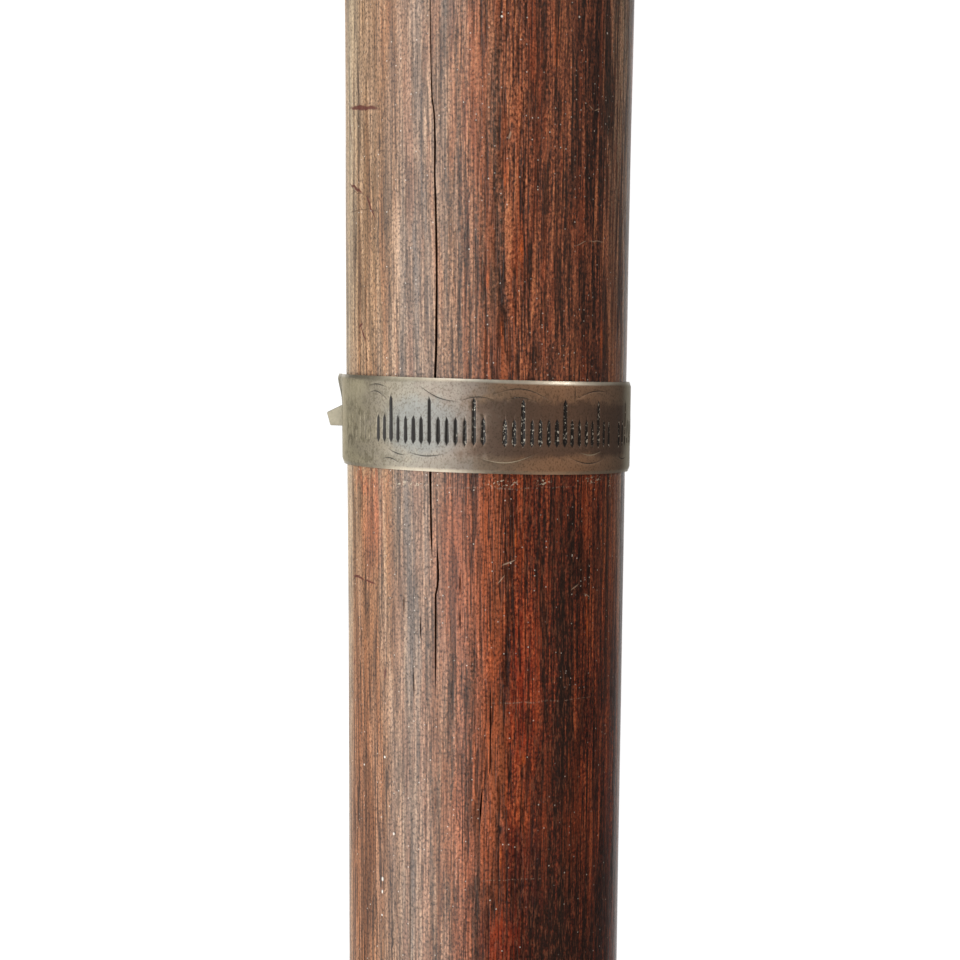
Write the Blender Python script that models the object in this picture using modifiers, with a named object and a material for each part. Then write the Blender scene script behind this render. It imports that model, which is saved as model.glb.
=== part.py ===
"""A wooden staff with an engraved metal collar, lying on two small flats.

The staff lies along Y with its head at +Y, and +Z is up. The origin is under the middle of its length, on the
surface it lies on. It is two pieces: the shaft, one length of hardwood with a long drying crack, and the
collar, one metal strip wound round it, whose ends overlap and are held by a tongue bent out through a slot.

Angles round the shaft are counted from straight up (+Z) towards -X. Seen from above with the head at the top,
the strip runs from its inner end behind the left side, under the shaft, over the front and back to the left.
"""
import math

import bmesh
import bpy
from mathutils import Matrix, Vector

MM = 0.001

# The shaft's sizes
STAFF_LENGTH = 1250 * MM
FOOT_DIAMETER = 24.0 * MM
TAPER_TOP_DIAMETER = 30.9 * MM      # what the plain taper reaches at the head end
HEAD_FLARE = 5.4 * MM               # how much the wood widens towards the head, on the diameter
FLARE_LENGTH = 134 * MM             # the flare falls to about a third over this length
HEAD_KNOB = 2.2 * MM                # a last low swelling at the head, on the diameter
KNOB_LENGTH = 60 * MM
HEAD_DOME_DEPTH = 13 * MM
HEAD_TIP_RADIUS = 1.5 * MM          # the small flat in the middle of the dome
FOOT_ROUNDING = 4.0 * MM
SWAY = 0.9 * MM                     # how far the natural wood wanders sideways
SWAY_LENGTH = 900 * MM

# The flats it lies on, planed into the underside near both ends
HEAD_REST_DISTANCE = 25 * MM        # from the head's end to the middle of its flat
FOOT_REST_DISTANCE = 30 * MM
HEAD_FLAT_DEPTH = 0.5 * MM
FOOT_FLAT_DEPTH = 0.3 * MM

# The drying crack, left of the front
CRACK_WIDTH = 0.32 * MM
CRACK_DEPTH = 2.6 * MM
CRACK_OUTSIDE = 0.5 * MM            # how far the cutter stands out of the wood
# Its two strands, each a list of places in millimetres: to the left of the front, and from the collar's middle
UPPER_STRAND = (
    (6.70, 60.0), (6.42, 45.0), (6.31, 38.7), (6.18, 35.0), (5.88, 32.9), (5.79, 29.9), (5.84, 26.9),
    (5.72, 24.0), (5.54, 17.0), (5.59, 8.2), (5.69, 5.1), (6.21, -5.3), (6.06, -11.4), (5.85, -14.0),
)
LOWER_STRAND = ((5.30, -13.3), (5.23, -17.1), (5.50, -17.6), (5.48, -23.0), (5.44, -29.3))

# The collar
COLLAR_FROM_HEAD = 172 * MM         # from the head's end to the middle of the strip
STRIP_WIDTH = 10.0 * MM
STRIP_THICKNESS = 0.40 * MM
STRIP_PLAY = 0.12 * MM              # between the wood and the strip
LAP_GAP = 0.08 * MM                 # between the strip's two layers
STRIP_SKEW = math.radians(1.6)      # the left side sits nearer the head
INNER_END_ANGLE = math.radians(102.5)
LAP_ANGLE = math.radians(5.5)       # how far the outer end reaches past the inner end
JOGGLE_ANGLE = math.radians(10)     # over this the outer end climbs onto the inner one
END_CORNER_RADIUS = 1.6 * MM
CORNER_SPRING = 0.7 * MM            # how far the outer end's upper corner has sprung out
SPRING_ANGLE = math.radians(28)     # over this it bends away from the shaft

# The tongue, cut on the inner end and bent out through the slot
TONGUE_ANGLE = math.radians(100)
TONGUE_WIDTH = 2.5 * MM
TONGUE_TIP_WIDTH = 1.5 * MM
TONGUE_OFF_CENTRE = 0.29 * MM       # its middle lies this far towards the head from the strip's middle
TONGUE_THICKNESS = 0.36 * MM
TONGUE_REACH = 2.3 * MM             # how far its tip stands out of the strip's face
TONGUE_TIP_SLANT = 0.4 * MM         # the tip's lower corner is this much shorter
TONGUE_BEND_RADIUS = 0.5 * MM
SLOT_CLEARANCE = 0.15 * MM

# The engraved strokes, cut with a V-shaped graver
STROKE_WIDTH = 0.42 * MM
STROKE_DEPTH = 0.15 * MM
STROKE_PITCH = 0.97 * MM
STROKE_BASE = -2.2 * MM             # the strokes' feet, from the strip's middle
SHORT_STROKE = 3.2 * MM
TALL_STROKE = 5.3 * MM
TALL_EVERY = 5                      # one stroke in five is tall
STROKE_TIP = 0.35 * MM              # the length of a stroke's pointed end
# Each row of strokes: the place of its first one, from the front to the right, and how many strokes it has
STROKE_ROW_STARTS = (-19.2 * MM, -13.0 * MM, 1.9 * MM, 17.9 * MM)
STROKE_ROW_COUNTS = (6, 14, 15, 8)

# How finely the round shapes are faceted
SHAFT_SIDES = 40
SHAFT_RINGS = 44
END_RINGS = 6
STRIP_COLUMNS = 96
STRIP_ROWS = 8

HEAD_Y = STAFF_LENGTH / 2
FOOT_Y = -STAFF_LENGTH / 2
COLLAR_Y = HEAD_Y - COLLAR_FROM_HEAD
OUTER_END_ANGLE = INNER_END_ANGLE + 2 * math.pi + LAP_ANGLE
LAYER_STEP = STRIP_THICKNESS + LAP_GAP
SHARP_ANGLE = math.radians(30)


def clear_scene():
    for item in list(bpy.data.objects):
        bpy.data.objects.remove(item)


def new_collection(name):
    collection = bpy.data.collections.new(name)
    bpy.context.scene.collection.children.link(collection)
    return collection


def add_mesh(name, bm, collection):
    """Turn a finished bmesh into an object in a collection."""
    mesh = bpy.data.meshes.new(name)
    bm.to_mesh(mesh)
    bm.free()
    item = bpy.data.objects.new(name, mesh)
    collection.objects.link(item)
    return item


def hide_cutter(item):
    item.hide_render = True
    item.display_type = "WIRE"


def add_boolean(item, tool, operation):
    step = item.modifiers.new(f"{operation} {tool.name}", "BOOLEAN")
    step.object = tool
    step.operation = operation
    step.solver = "EXACT"


def new_material(name, colour, roughness, metallic):
    material = bpy.data.materials.new(name)
    material.use_nodes = True
    shader = material.node_tree.nodes["Principled BSDF"]
    shader.inputs["Base Color"].default_value = (*colour, 1.0)
    shader.inputs["Roughness"].default_value = roughness
    shader.inputs["Metallic"].default_value = metallic
    return material


def shade_round(item):
    item.data.shade_smooth()
    item.data.set_sharp_from_angle(angle=SHARP_ANGLE)


def smooth_step(value):
    """Rise smoothly from 0 to 1 as the value goes from 0 to 1."""
    value = min(max(value, 0.0), 1.0)
    return value * value * (3 - 2 * value)


def quarter_round(distance, depth):
    """1 from the given depth on, falling to 0 at distance 0 as a quarter of an ellipse."""
    if distance >= depth:
        return 1.0
    return math.sqrt(1 - (1 - distance / depth) ** 2)


def body_radius(y):
    """The shaft's radius at a place along it, without its rounded ends."""
    down = HEAD_Y - y
    taper = FOOT_DIAMETER + (TAPER_TOP_DIAMETER - FOOT_DIAMETER) * (1 - down / STAFF_LENGTH)
    flare = HEAD_FLARE * math.exp(-down / FLARE_LENGTH)
    knob = HEAD_KNOB * math.exp(-((down / KNOB_LENGTH) ** 2))
    return (taper + flare + knob) / 2


def shaft_radius(y):
    """The shaft's radius with the domed head and the rounded foot."""
    radius = body_radius(y)
    head_inset = (radius - HEAD_TIP_RADIUS) * (1 - quarter_round(HEAD_Y - y, HEAD_DOME_DEPTH))
    foot_inset = FOOT_ROUNDING * (1 - quarter_round(y - FOOT_Y, FOOT_ROUNDING))
    return radius - head_inset - foot_inset


def shaft_centre(y):
    """The middle of the shaft at a place along it: a line that rises to the head, with a slight sway."""
    head_rest = HEAD_Y - HEAD_REST_DISTANCE
    foot_rest = FOOT_Y + FOOT_REST_DISTANCE
    head_height = body_radius(head_rest) - HEAD_FLAT_DEPTH
    foot_height = body_radius(foot_rest) - FOOT_FLAT_DEPTH
    share = (y - foot_rest) / (head_rest - foot_rest)
    height = foot_height + (head_height - foot_height) * share
    sideways = SWAY * math.sin(2 * math.pi * (y - COLLAR_Y) / SWAY_LENGTH)
    return Vector((sideways, y, height))


def around(centre, angle, radius):
    """The point at an angle and a radius round a centre."""
    return centre + Vector((-math.sin(angle) * radius, 0, math.cos(angle) * radius))


def ring_places():
    """Where the shaft's rings stand: close together on the rounded ends, evenly between them."""
    turns = [step / END_RINGS * math.pi / 2 for step in range(END_RINGS)]
    head_end = [HEAD_Y - HEAD_DOME_DEPTH * (1 - math.cos(turn)) for turn in turns]
    foot_end = [FOOT_Y + FOOT_ROUNDING * (1 - math.cos(turn)) for turn in turns]
    top = HEAD_Y - HEAD_DOME_DEPTH
    bottom = FOOT_Y + FOOT_ROUNDING
    body = [top + (bottom - top) * step / SHAFT_RINGS for step in range(SHAFT_RINGS + 1)]
    return head_end + body + foot_end[::-1]


def make_shaft(collection, cutters):
    """The wooden shaft: a tube along the staff's line whose radius follows the wood."""
    curve = bpy.data.curves.new("shaft line", "CURVE")
    curve.dimensions = "3D"
    curve.twist_mode = "Z_UP"
    curve.bevel_depth = 1.0
    curve.bevel_resolution = SHAFT_SIDES // 2 - 2
    curve.use_fill_caps = True
    spline = curve.splines.new("POLY")
    places = ring_places()
    spline.points.add(len(places) - 1)
    for point, y in zip(spline.points, places):
        point.co = (*shaft_centre(y), 1)
        point.radius = shaft_radius(y)
    line = bpy.data.objects.new("shaft line", curve)
    collection.objects.link(line)
    bpy.context.view_layer.update()
    mesh = bpy.data.meshes.new_from_object(line.evaluated_get(bpy.context.evaluated_depsgraph_get()))
    bm = bmesh.new()
    bm.from_mesh(mesh)
    bmesh.ops.remove_doubles(bm, verts=bm.verts, dist=0.01 * MM)
    bmesh.ops.recalc_face_normals(bm, faces=bm.faces)
    shaft = add_mesh("shaft", bm, collection)
    bpy.data.objects.remove(line)
    shaft.data.materials.append(new_material("oiled hardwood", (0.20, 0.065, 0.030), 0.45, 0.0))
    add_boolean(shaft, make_floor_cutter(cutters), "DIFFERENCE")
    add_boolean(shaft, make_crack_cutter("upper strand cutter", UPPER_STRAND, cutters), "DIFFERENCE")
    add_boolean(shaft, make_crack_cutter("lower strand cutter", LOWER_STRAND, cutters), "DIFFERENCE")
    shade_round(shaft)
    return shaft


def make_floor_cutter(collection):
    """A slab whose top is the surface the staff lies on. It planes the two flats."""
    width = 2 * (TAPER_TOP_DIAMETER + HEAD_FLARE + HEAD_KNOB)
    bm = bmesh.new()
    bmesh.ops.create_cube(bm, size=1)
    bmesh.ops.scale(bm, verts=bm.verts, vec=(width, 1.1 * STAFF_LENGTH, width))
    bmesh.ops.translate(bm, verts=bm.verts, vec=(0, 0, -width / 2))
    cutter = add_mesh("floor cutter", bm, collection)
    hide_cutter(cutter)
    return cutter


def make_crack_cutter(name, strand, collection):
    """A thin wedge that follows one strand of the crack, deepest and widest in its middle."""
    bm = bmesh.new()
    rings = []
    last = len(strand) - 1
    for number, (left, along) in enumerate(strand):
        y = COLLAR_Y + along * MM
        radius = shaft_radius(y)
        angle = left * MM / radius
        share = max(math.sin(math.pi * number / last), 0.12)
        half_angle = CRACK_WIDTH * share ** 0.3 / 2 / radius * (CRACK_DEPTH + CRACK_OUTSIDE) / CRACK_DEPTH
        depth = CRACK_DEPTH * share ** 0.5
        centre = shaft_centre(y)
        ring = [
            around(centre, angle - half_angle, radius + CRACK_OUTSIDE),
            around(centre, angle + half_angle, radius + CRACK_OUTSIDE),
            around(centre, angle, radius - depth),
        ]
        rings.append([bm.verts.new(point) for point in ring])
    for ring, following in zip(rings, rings[1:]):
        for corner in range(3):
            after = (corner + 1) % 3
            bm.faces.new((ring[corner], ring[after], following[after], following[corner]))
    bm.faces.new(rings[0])
    bm.faces.new(rings[-1])
    bmesh.ops.recalc_face_normals(bm, faces=bm.faces)
    cutter = add_mesh(name, bm, collection)
    hide_cutter(cutter)
    return cutter


def strip_radius(y):
    """The radius of the middle of the strip's thickness, where it lies straight on the wood."""
    return body_radius(y) + STRIP_PLAY + STRIP_THICKNESS / 2


def strip_point(angle, along, out=0.0):
    """A point of the strip: its angle, its place across the strip's width, and its height over the middle."""
    sideways = -math.sin(angle) * (strip_radius(COLLAR_Y) + out)
    y = COLLAR_Y + along - sideways * math.tan(STRIP_SKEW)
    return around(shaft_centre(y), angle, strip_radius(y) + out)


def lap_lift(angle, along):
    """How far the strip stands over its own first layer: the joggle, and the sprung upper corner."""
    joggle_end = INNER_END_ANGLE + 2 * math.pi - math.radians(1.5)
    joggle = smooth_step((angle - joggle_end + JOGGLE_ANGLE) / JOGGLE_ANGLE)
    slot_top = TONGUE_OFF_CENTRE + TONGUE_WIDTH / 2
    round_share = (angle - OUTER_END_ANGLE + SPRING_ANGLE) / SPRING_ANGLE
    height_share = (along - slot_top) / (STRIP_WIDTH / 2 - slot_top)
    return joggle * LAYER_STEP + CORNER_SPRING * smooth_step(round_share) * smooth_step(height_share)


def outer_end_inset(along):
    """How much the outer end is cut back near its two rounded corners."""
    past = abs(along) - (STRIP_WIDTH / 2 - END_CORNER_RADIUS)
    if past <= 0:
        return 0.0
    return END_CORNER_RADIUS - math.sqrt(max(END_CORNER_RADIUS ** 2 - past ** 2, 0.0))


def make_collar(collection, cutters):
    """The collar: a sheet wound round the shaft, thickened, slotted, joined to its tongue and engraved."""
    bm = bmesh.new()
    bmesh.ops.create_grid(bm, x_segments=STRIP_COLUMNS, y_segments=STRIP_ROWS, size=0.5)
    for vertex in bm.verts:
        share = vertex.co.x + 0.5
        along = STRIP_WIDTH / 2 * math.sin(vertex.co.y * math.pi)
        end_angle = OUTER_END_ANGLE - outer_end_inset(along) / strip_radius(COLLAR_Y)
        angle = INNER_END_ANGLE + (end_angle - INNER_END_ANGLE) * share
        vertex.co = strip_point(angle, along, lap_lift(angle, along))
    collar = add_mesh("collar", bm, collection)
    collar.data.materials.append(new_material("tarnished silver", (0.30, 0.27, 0.23), 0.40, 1.0))
    thicken(collar, STRIP_THICKNESS)
    add_boolean(collar, make_slot_cutter(cutters), "DIFFERENCE")
    add_boolean(collar, make_tongue(cutters), "UNION")
    add_boolean(collar, make_stroke_cutters(cutters), "DIFFERENCE")
    shade_round(collar)
    return collar


def thicken(item, thickness):
    """Give an open sheet its thickness, half to each side."""
    step = item.modifiers.new("thickness", "SOLIDIFY")
    step.thickness = thickness
    step.offset = 0
    step.use_even_offset = True


def make_slot_cutter(collection):
    """The slot in the outer end, as wide and as tall as the tongue and its clearance."""
    depth = 4 * LAYER_STEP
    size = (TONGUE_THICKNESS + 2 * SLOT_CLEARANCE, TONGUE_WIDTH + 2 * SLOT_CLEARANCE, depth)
    bm = bmesh.new()
    bmesh.ops.create_cube(bm, size=1)
    bmesh.ops.scale(bm, verts=bm.verts, vec=size)
    bm.transform(strip_frame(TONGUE_ANGLE, TONGUE_OFF_CENTRE, LAYER_STEP))
    cutter = add_mesh("slot cutter", bm, collection)
    hide_cutter(cutter)
    return cutter


def strip_frame(angle, along, out):
    """A frame on the strip: X round the shaft, Y towards the head, Z outwards."""
    round_way = strip_point(angle - 0.01, along, out) - strip_point(angle + 0.01, along, out)
    outwards = strip_point(angle, along, out + MM) - strip_point(angle, along, out)
    x_axis = round_way.normalized()
    z_axis = (outwards - outwards.dot(x_axis) * x_axis).normalized()
    y_axis = z_axis.cross(x_axis)
    turn = Matrix((x_axis, y_axis, z_axis)).transposed().to_4x4()
    return Matrix.Translation(strip_point(angle, along, out)) @ turn


def make_tongue(collection):
    """The tongue: it starts inside the inner end, bends through a right angle and stands out of the slot."""
    radius = strip_radius(COLLAR_Y)
    face = STRIP_THICKNESS / 2
    bend_angle = TONGUE_BEND_RADIUS / radius
    root_angle = INNER_END_ANGLE + math.radians(2)
    route = [(root_angle, 0.0, 0.0), (TONGUE_ANGLE + bend_angle, 0.0, 0.0)]
    for turn in (30, 60, 90):
        slope = math.radians(turn)
        angle = TONGUE_ANGLE + bend_angle * (1 - math.sin(slope))
        route.append((angle, TONGUE_BEND_RADIUS * (1 - math.cos(slope)), 0.0))
    route.append((TONGUE_ANGLE, face + TONGUE_REACH, 1.0))
    low = TONGUE_OFF_CENTRE - TONGUE_WIDTH / 2
    bm = bmesh.new()
    edges = []
    for angle, out, tip_share in route:
        high = low + TONGUE_WIDTH + (TONGUE_TIP_WIDTH - TONGUE_WIDTH) * tip_share
        lower = bm.verts.new(strip_point(angle, low, out - TONGUE_TIP_SLANT * tip_share))
        upper = bm.verts.new(strip_point(angle, high, out))
        edges.append(bm.edges.new((lower, upper)))
    for edge, following in zip(edges, edges[1:]):
        bmesh.ops.bridge_loops(bm, edges=[edge, following])
    bmesh.ops.recalc_face_normals(bm, faces=bm.faces)
    tongue = add_mesh("tongue", bm, collection)
    thicken(tongue, TONGUE_THICKNESS)
    hide_cutter(tongue)
    return tongue


def add_stroke(bm, arc, length):
    """One graver cut: a V-shaped groove with pointed ends, as the hull of its corners."""
    above = STROKE_DEPTH / 2
    half_width = STROKE_WIDTH / 2 * (STROKE_DEPTH + above) / STROKE_DEPTH
    shoulder = length / 2 - STROKE_TIP
    tip = length / 2 + STROKE_TIP * above / STROKE_DEPTH
    corners = [(0, shoulder, -STROKE_DEPTH), (0, -shoulder, -STROKE_DEPTH), (0, tip, above), (0, -tip, above)]
    corners += [(side * half_width, end * shoulder, above) for side in (-1, 1) for end in (-1, 1)]
    angle = -arc / strip_radius(COLLAR_Y)
    place = strip_frame(angle, STROKE_BASE + length / 2, STRIP_THICKNESS / 2)
    points = [bm.verts.new(place @ Vector(corner)) for corner in corners]
    bmesh.ops.convex_hull(bm, input=points)


def make_stroke_cutters(collection):
    """The rows of engraved strokes, short ones with a tall one at an even beat."""
    bm = bmesh.new()
    for first, count in zip(STROKE_ROW_STARTS, STROKE_ROW_COUNTS):
        for number in range(count):
            tall = number % TALL_EVERY == TALL_EVERY // 2
            add_stroke(bm, first + number * STROKE_PITCH, TALL_STROKE if tall else SHORT_STROKE)
    bmesh.ops.recalc_face_normals(bm, faces=bm.faces)
    cutters = add_mesh("stroke cutters", bm, collection)
    hide_cutter(cutters)
    return cutters


clear_scene()
staff_pieces = new_collection("wooden staff")
staff_cutters = new_collection("cutters")
make_shaft(staff_pieces, staff_cutters)
make_collar(staff_pieces, staff_cutters)
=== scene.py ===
import math

import bmesh
import bpy
import numpy as np
from mathutils import Matrix, Vector, noise


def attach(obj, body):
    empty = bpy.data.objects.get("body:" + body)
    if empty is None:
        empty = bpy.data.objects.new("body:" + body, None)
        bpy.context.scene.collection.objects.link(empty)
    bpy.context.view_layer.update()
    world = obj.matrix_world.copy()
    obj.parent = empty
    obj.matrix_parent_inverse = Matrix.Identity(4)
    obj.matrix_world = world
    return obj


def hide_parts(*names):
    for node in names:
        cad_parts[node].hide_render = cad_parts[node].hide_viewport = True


# The staff lies along Y with its head at +Y, and +Z is up. Places on it are given in millimetres: round the
# shaft from its front line, which is the top of the lying staff, counted to the right, and along it from the
# middle of the collar.
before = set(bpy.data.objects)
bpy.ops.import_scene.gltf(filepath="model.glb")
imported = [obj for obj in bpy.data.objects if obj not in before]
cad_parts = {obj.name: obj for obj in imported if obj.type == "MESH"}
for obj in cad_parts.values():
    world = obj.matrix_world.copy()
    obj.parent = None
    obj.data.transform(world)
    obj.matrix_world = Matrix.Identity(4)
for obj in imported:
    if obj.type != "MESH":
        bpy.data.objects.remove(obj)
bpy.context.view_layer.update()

# The shaft
# One length of dense, dark, open-pored hardwood, shaved round by hand, oiled, and worn dry and tan along its
# left side. It split as it dried: a long crack runs down under the collar, with short splits beside and
# below it.

MM = 0.001
STAFF_LENGTH = 1250 * MM
FOOT_DIAMETER = 24.0 * MM
TAPER_TOP_DIAMETER = 30.9 * MM
HEAD_FLARE = 5.4 * MM
FLARE_LENGTH = 134 * MM
HEAD_KNOB = 2.2 * MM
KNOB_LENGTH = 60 * MM
HEAD_DOME_DEPTH = 13 * MM
HEAD_TIP_RADIUS = 1.5 * MM
FOOT_ROUNDING = 4.0 * MM
SWAY = 0.9 * MM
SWAY_LENGTH = 900 * MM
HEAD_REST_DISTANCE = 25 * MM
FOOT_REST_DISTANCE = 30 * MM
HEAD_FLAT_DEPTH = 0.5 * MM
FOOT_FLAT_DEPTH = 0.3 * MM
COLLAR_FROM_HEAD = 172 * MM

HEAD_Y = STAFF_LENGTH / 2
FOOT_Y = -STAFF_LENGTH / 2
COLLAR_Y = HEAD_Y - COLLAR_FROM_HEAD

# How finely the wood is meshed: the columns run with the grain, and the rows stand close where most detail is
COLUMNS = 384
FINE_SPAN = (-60.0, 47.0)
FINE_STEP = 0.8
COARSE_STEP = 16.0
STEP_GROWTH = 0.2               # how much the step grows with each millimetre outside the fine span
DOME_ROWS = 14
FOOT_ROWS = 6

# The splits, from left to right. Each is a line of (round, along, width), and is as deep as its width allows.
SPLITS = (
    ((-9.38, -20.3, 0.0), (-9.38, -19.5, 0.17), (-9.39, -18.7, 0.16), (-9.39, -18.0, 0.0)),
    (
        (-8.40, -63.0, 0.0), (-8.43, -58.0, 0.10), (-8.43, -53.0, 0.11), (-8.46, -47.0, 0.08),
        (-8.48, -44.2, 0.0),
        (-8.04, -29.5, 0.0), (-8.04, -28.4, 0.15), (-8.05, -27.0, 0.13), (-8.05, -25.9, 0.0),
    ),
    ((-7.27, -22.7, 0.0), (-7.27, -22.0, 0.18), (-7.28, -21.5, 0.18), (-7.28, -20.9, 0.0)),
    (
        (-5.90, -14.1, 0.0), (-5.97, -13.0, 0.17), (-6.06, -11.4, 0.25), (-6.12, -8.4, 0.24),
        (-6.21, -5.3, 0.30), (-5.69, 5.1, 0.30), (-5.59, 8.2, 0.29), (-5.54, 17.0, 0.27),
        (-5.72, 24.0, 0.25), (-5.84, 26.9, 0.21), (-5.79, 29.9, 0.23), (-5.88, 32.9, 0.20),
        (-6.18, 35.0, 0.17), (-6.31, 38.7, 0.14), (-6.42, 45.0, 0.12), (-6.50, 50.0, 0.10),
        (-6.70, 60.0, 0.0),
    ),
    (
        (-5.44, -29.3, 0.0), (-5.46, -26.5, 0.16), (-5.48, -23.0, 0.22), (-5.48, -20.0, 0.25),
        (-5.50, -17.7, 0.22), (-5.23, -17.1, 0.24), (-5.23, -15.5, 0.26), (-5.30, -13.7, 0.18),
        (-5.36, -12.9, 0.0),
    ),
    (
        (-2.75, -21.9, 0.0), (-2.76, -21.0, 0.18), (-2.77, -20.0, 0.16), (-2.77, -19.3, 0.0),
        (-2.78, -17.9, 0.0), (-2.79, -17.3, 0.16), (-2.79, -16.5, 0.14), (-2.80, -15.9, 0.0),
    ),
    (
        (-0.47, -43.3, 0.0), (-0.46, -42.4, 0.12), (-0.40, -41.2, 0.20), (-0.30, -39.6, 0.16),
        (-0.20, -38.7, 0.0),
        (0.40, -37.9, 0.0), (0.57, -36.8, 0.15), (0.58, -33.0, 0.13), (0.60, -29.0, 0.10), (0.61, -26.6, 0.0),
    ),
)
SPLIT_STEEPNESS = 9.0           # depth over width
SPLIT_DEPTH = 2.6
CLOSED_WIDTH = 0.03
TIP_EASE = 4.0                  # past a split's tip its columns spread out again over this length
LINE_EASE = 25.0                # and return to their even places over this one
SPLIT_REACH = 25                # how many columns beside the splits make room for them

# Dents and chips: (round, along, half width, half length, depth)
DENTS = (
    (2.25, 30.1, 0.55, 1.7, 0.14),
    (9.9, 21.6, 0.8, 1.2, 0.12),
    (5.8, 38.0, 0.5, 0.8, 0.10),
    (1.58, -43.5, 0.6, 0.8, 0.22),
    (-0.45, -41.0, 0.7, 2.2, 0.10),
    (5.2, -36.5, 0.6, 2.4, 0.08),
    (-12.6, -49.5, 1.1, 2.4, 0.06),
)
DENT_RIM = 1.3                  # a dent has faded out at this many times its half width and half length
DENTED_SPAN = 60                # no dent lies farther than this from the collar

# The relief all over the wood, as (height, width, length): the knife's hollows, and the grain's ridges
RELIEF = ((0.09, 13, 42), (0.03, 0.95, 15))

WELD_DISTANCE = 0.001 * MM
WOOD_SHARP_ANGLE = math.radians(40)


def smooth_step(value):
    """Rise smoothly from 0 to 1 as the value goes from 0 to 1."""
    value = min(max(value, 0.0), 1.0)
    return value * value * (3 - 2 * value)


def quarter_round(distance, depth):
    """1 from the given depth on, falling to 0 at distance 0 as a quarter of an ellipse."""
    if distance >= depth:
        return 1.0
    return math.sqrt(max(1 - (1 - distance / depth) ** 2, 0.0))


def body_radius(y):
    """The shaft's radius at a place along it, without its rounded ends."""
    down = HEAD_Y - y
    taper = FOOT_DIAMETER + (TAPER_TOP_DIAMETER - FOOT_DIAMETER) * (1 - down / STAFF_LENGTH)
    flare = HEAD_FLARE * math.exp(-down / FLARE_LENGTH)
    knob = HEAD_KNOB * math.exp(-((down / KNOB_LENGTH) ** 2))
    return (taper + flare + knob) / 2


def shaft_radius(y):
    """The shaft's radius with the domed head and the rounded foot."""
    radius = body_radius(y)
    head_inset = (radius - HEAD_TIP_RADIUS) * (1 - quarter_round(HEAD_Y - y, HEAD_DOME_DEPTH))
    foot_inset = FOOT_ROUNDING * (1 - quarter_round(y - FOOT_Y, FOOT_ROUNDING))
    return radius - head_inset - foot_inset


def shaft_centre(y):
    """The middle of the shaft at a place along it: a line that rises to the head, with a slight sway."""
    head_rest = HEAD_Y - HEAD_REST_DISTANCE
    foot_rest = FOOT_Y + FOOT_REST_DISTANCE
    head_height = body_radius(head_rest) - HEAD_FLAT_DEPTH
    foot_height = body_radius(foot_rest) - FOOT_FLAT_DEPTH
    share = (y - foot_rest) / (head_rest - foot_rest)
    height = foot_height + (head_height - foot_height) * share
    sideways = SWAY * math.sin(2 * math.pi * (y - COLLAR_Y) / SWAY_LENGTH)
    return Vector((sideways, y, height))


def around(centre, angle, radius):
    """The point at an angle and a radius round a centre. Angles go from straight up to the right."""
    return centre + Vector((math.sin(angle) * radius, 0, math.cos(angle) * radius))


def shaft_rows():
    """Where the rows stand along the shaft, from the head to the foot."""
    turns = [step / DOME_ROWS * math.pi / 2 for step in range(DOME_ROWS)]
    rows = [HEAD_Y - HEAD_DOME_DEPTH * (1 - math.cos(turn)) for turn in turns]
    y = HEAD_Y - HEAD_DOME_DEPTH
    while y > FOOT_Y + FOOT_ROUNDING:
        rows.append(y)
        along = (y - COLLAR_Y) / MM
        outside = max(FINE_SPAN[0] - along, along - FINE_SPAN[1], 0.0)
        y -= min(FINE_STEP + STEP_GROWTH * outside, COARSE_STEP) * MM
    turns = [step / FOOT_ROWS * math.pi / 2 for step in range(FOOT_ROWS + 1)]
    return rows + [FOOT_Y + FOOT_ROUNDING * (1 - math.sin(turn)) for turn in turns]


def split_at(line, along, even_place, pitch):
    """A split's place round the shaft, its half width and its depth, at a place along it."""
    rounds, places, widths = zip(*line)
    middle = np.interp(along, places, rounds)
    width = np.interp(along, places, widths)
    beyond = max(along - places[-1], places[0] - along, 0.0)
    middle += (even_place - middle) * smooth_step(beyond / LINE_EASE)
    half_width = max(width, CLOSED_WIDTH) / 2
    half_width += (pitch - half_width) * smooth_step(beyond / TIP_EASE)
    return middle, half_width, min(width * SPLIT_STEEPNESS, SPLIT_DEPTH)


def relief(across, along, point):
    """How far the wood's surface stands out of its plain round: worked hollows, the grain's ridges, dents."""
    spot = point / MM
    height = 0.0
    for rise, width, length in RELIEF:
        height += rise * noise.noise(Vector((spot.x / width, spot.y / length, spot.z / width)))
    if abs(along) < DENTED_SPAN:
        for middle, place, half_width, half_length, depth in DENTS:
            distance = math.hypot((across - middle) / half_width, (along - place) / half_length)
            height -= depth * smooth_step(DENT_RIM - distance)
    return height


def add_object(name, bm):
    """Turn a finished bmesh into an object."""
    mesh = bpy.data.meshes.new(name)
    bm.to_mesh(mesh)
    bm.free()
    item = bpy.data.objects.new(name, mesh)
    bpy.context.scene.collection.objects.link(item)
    return item


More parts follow.
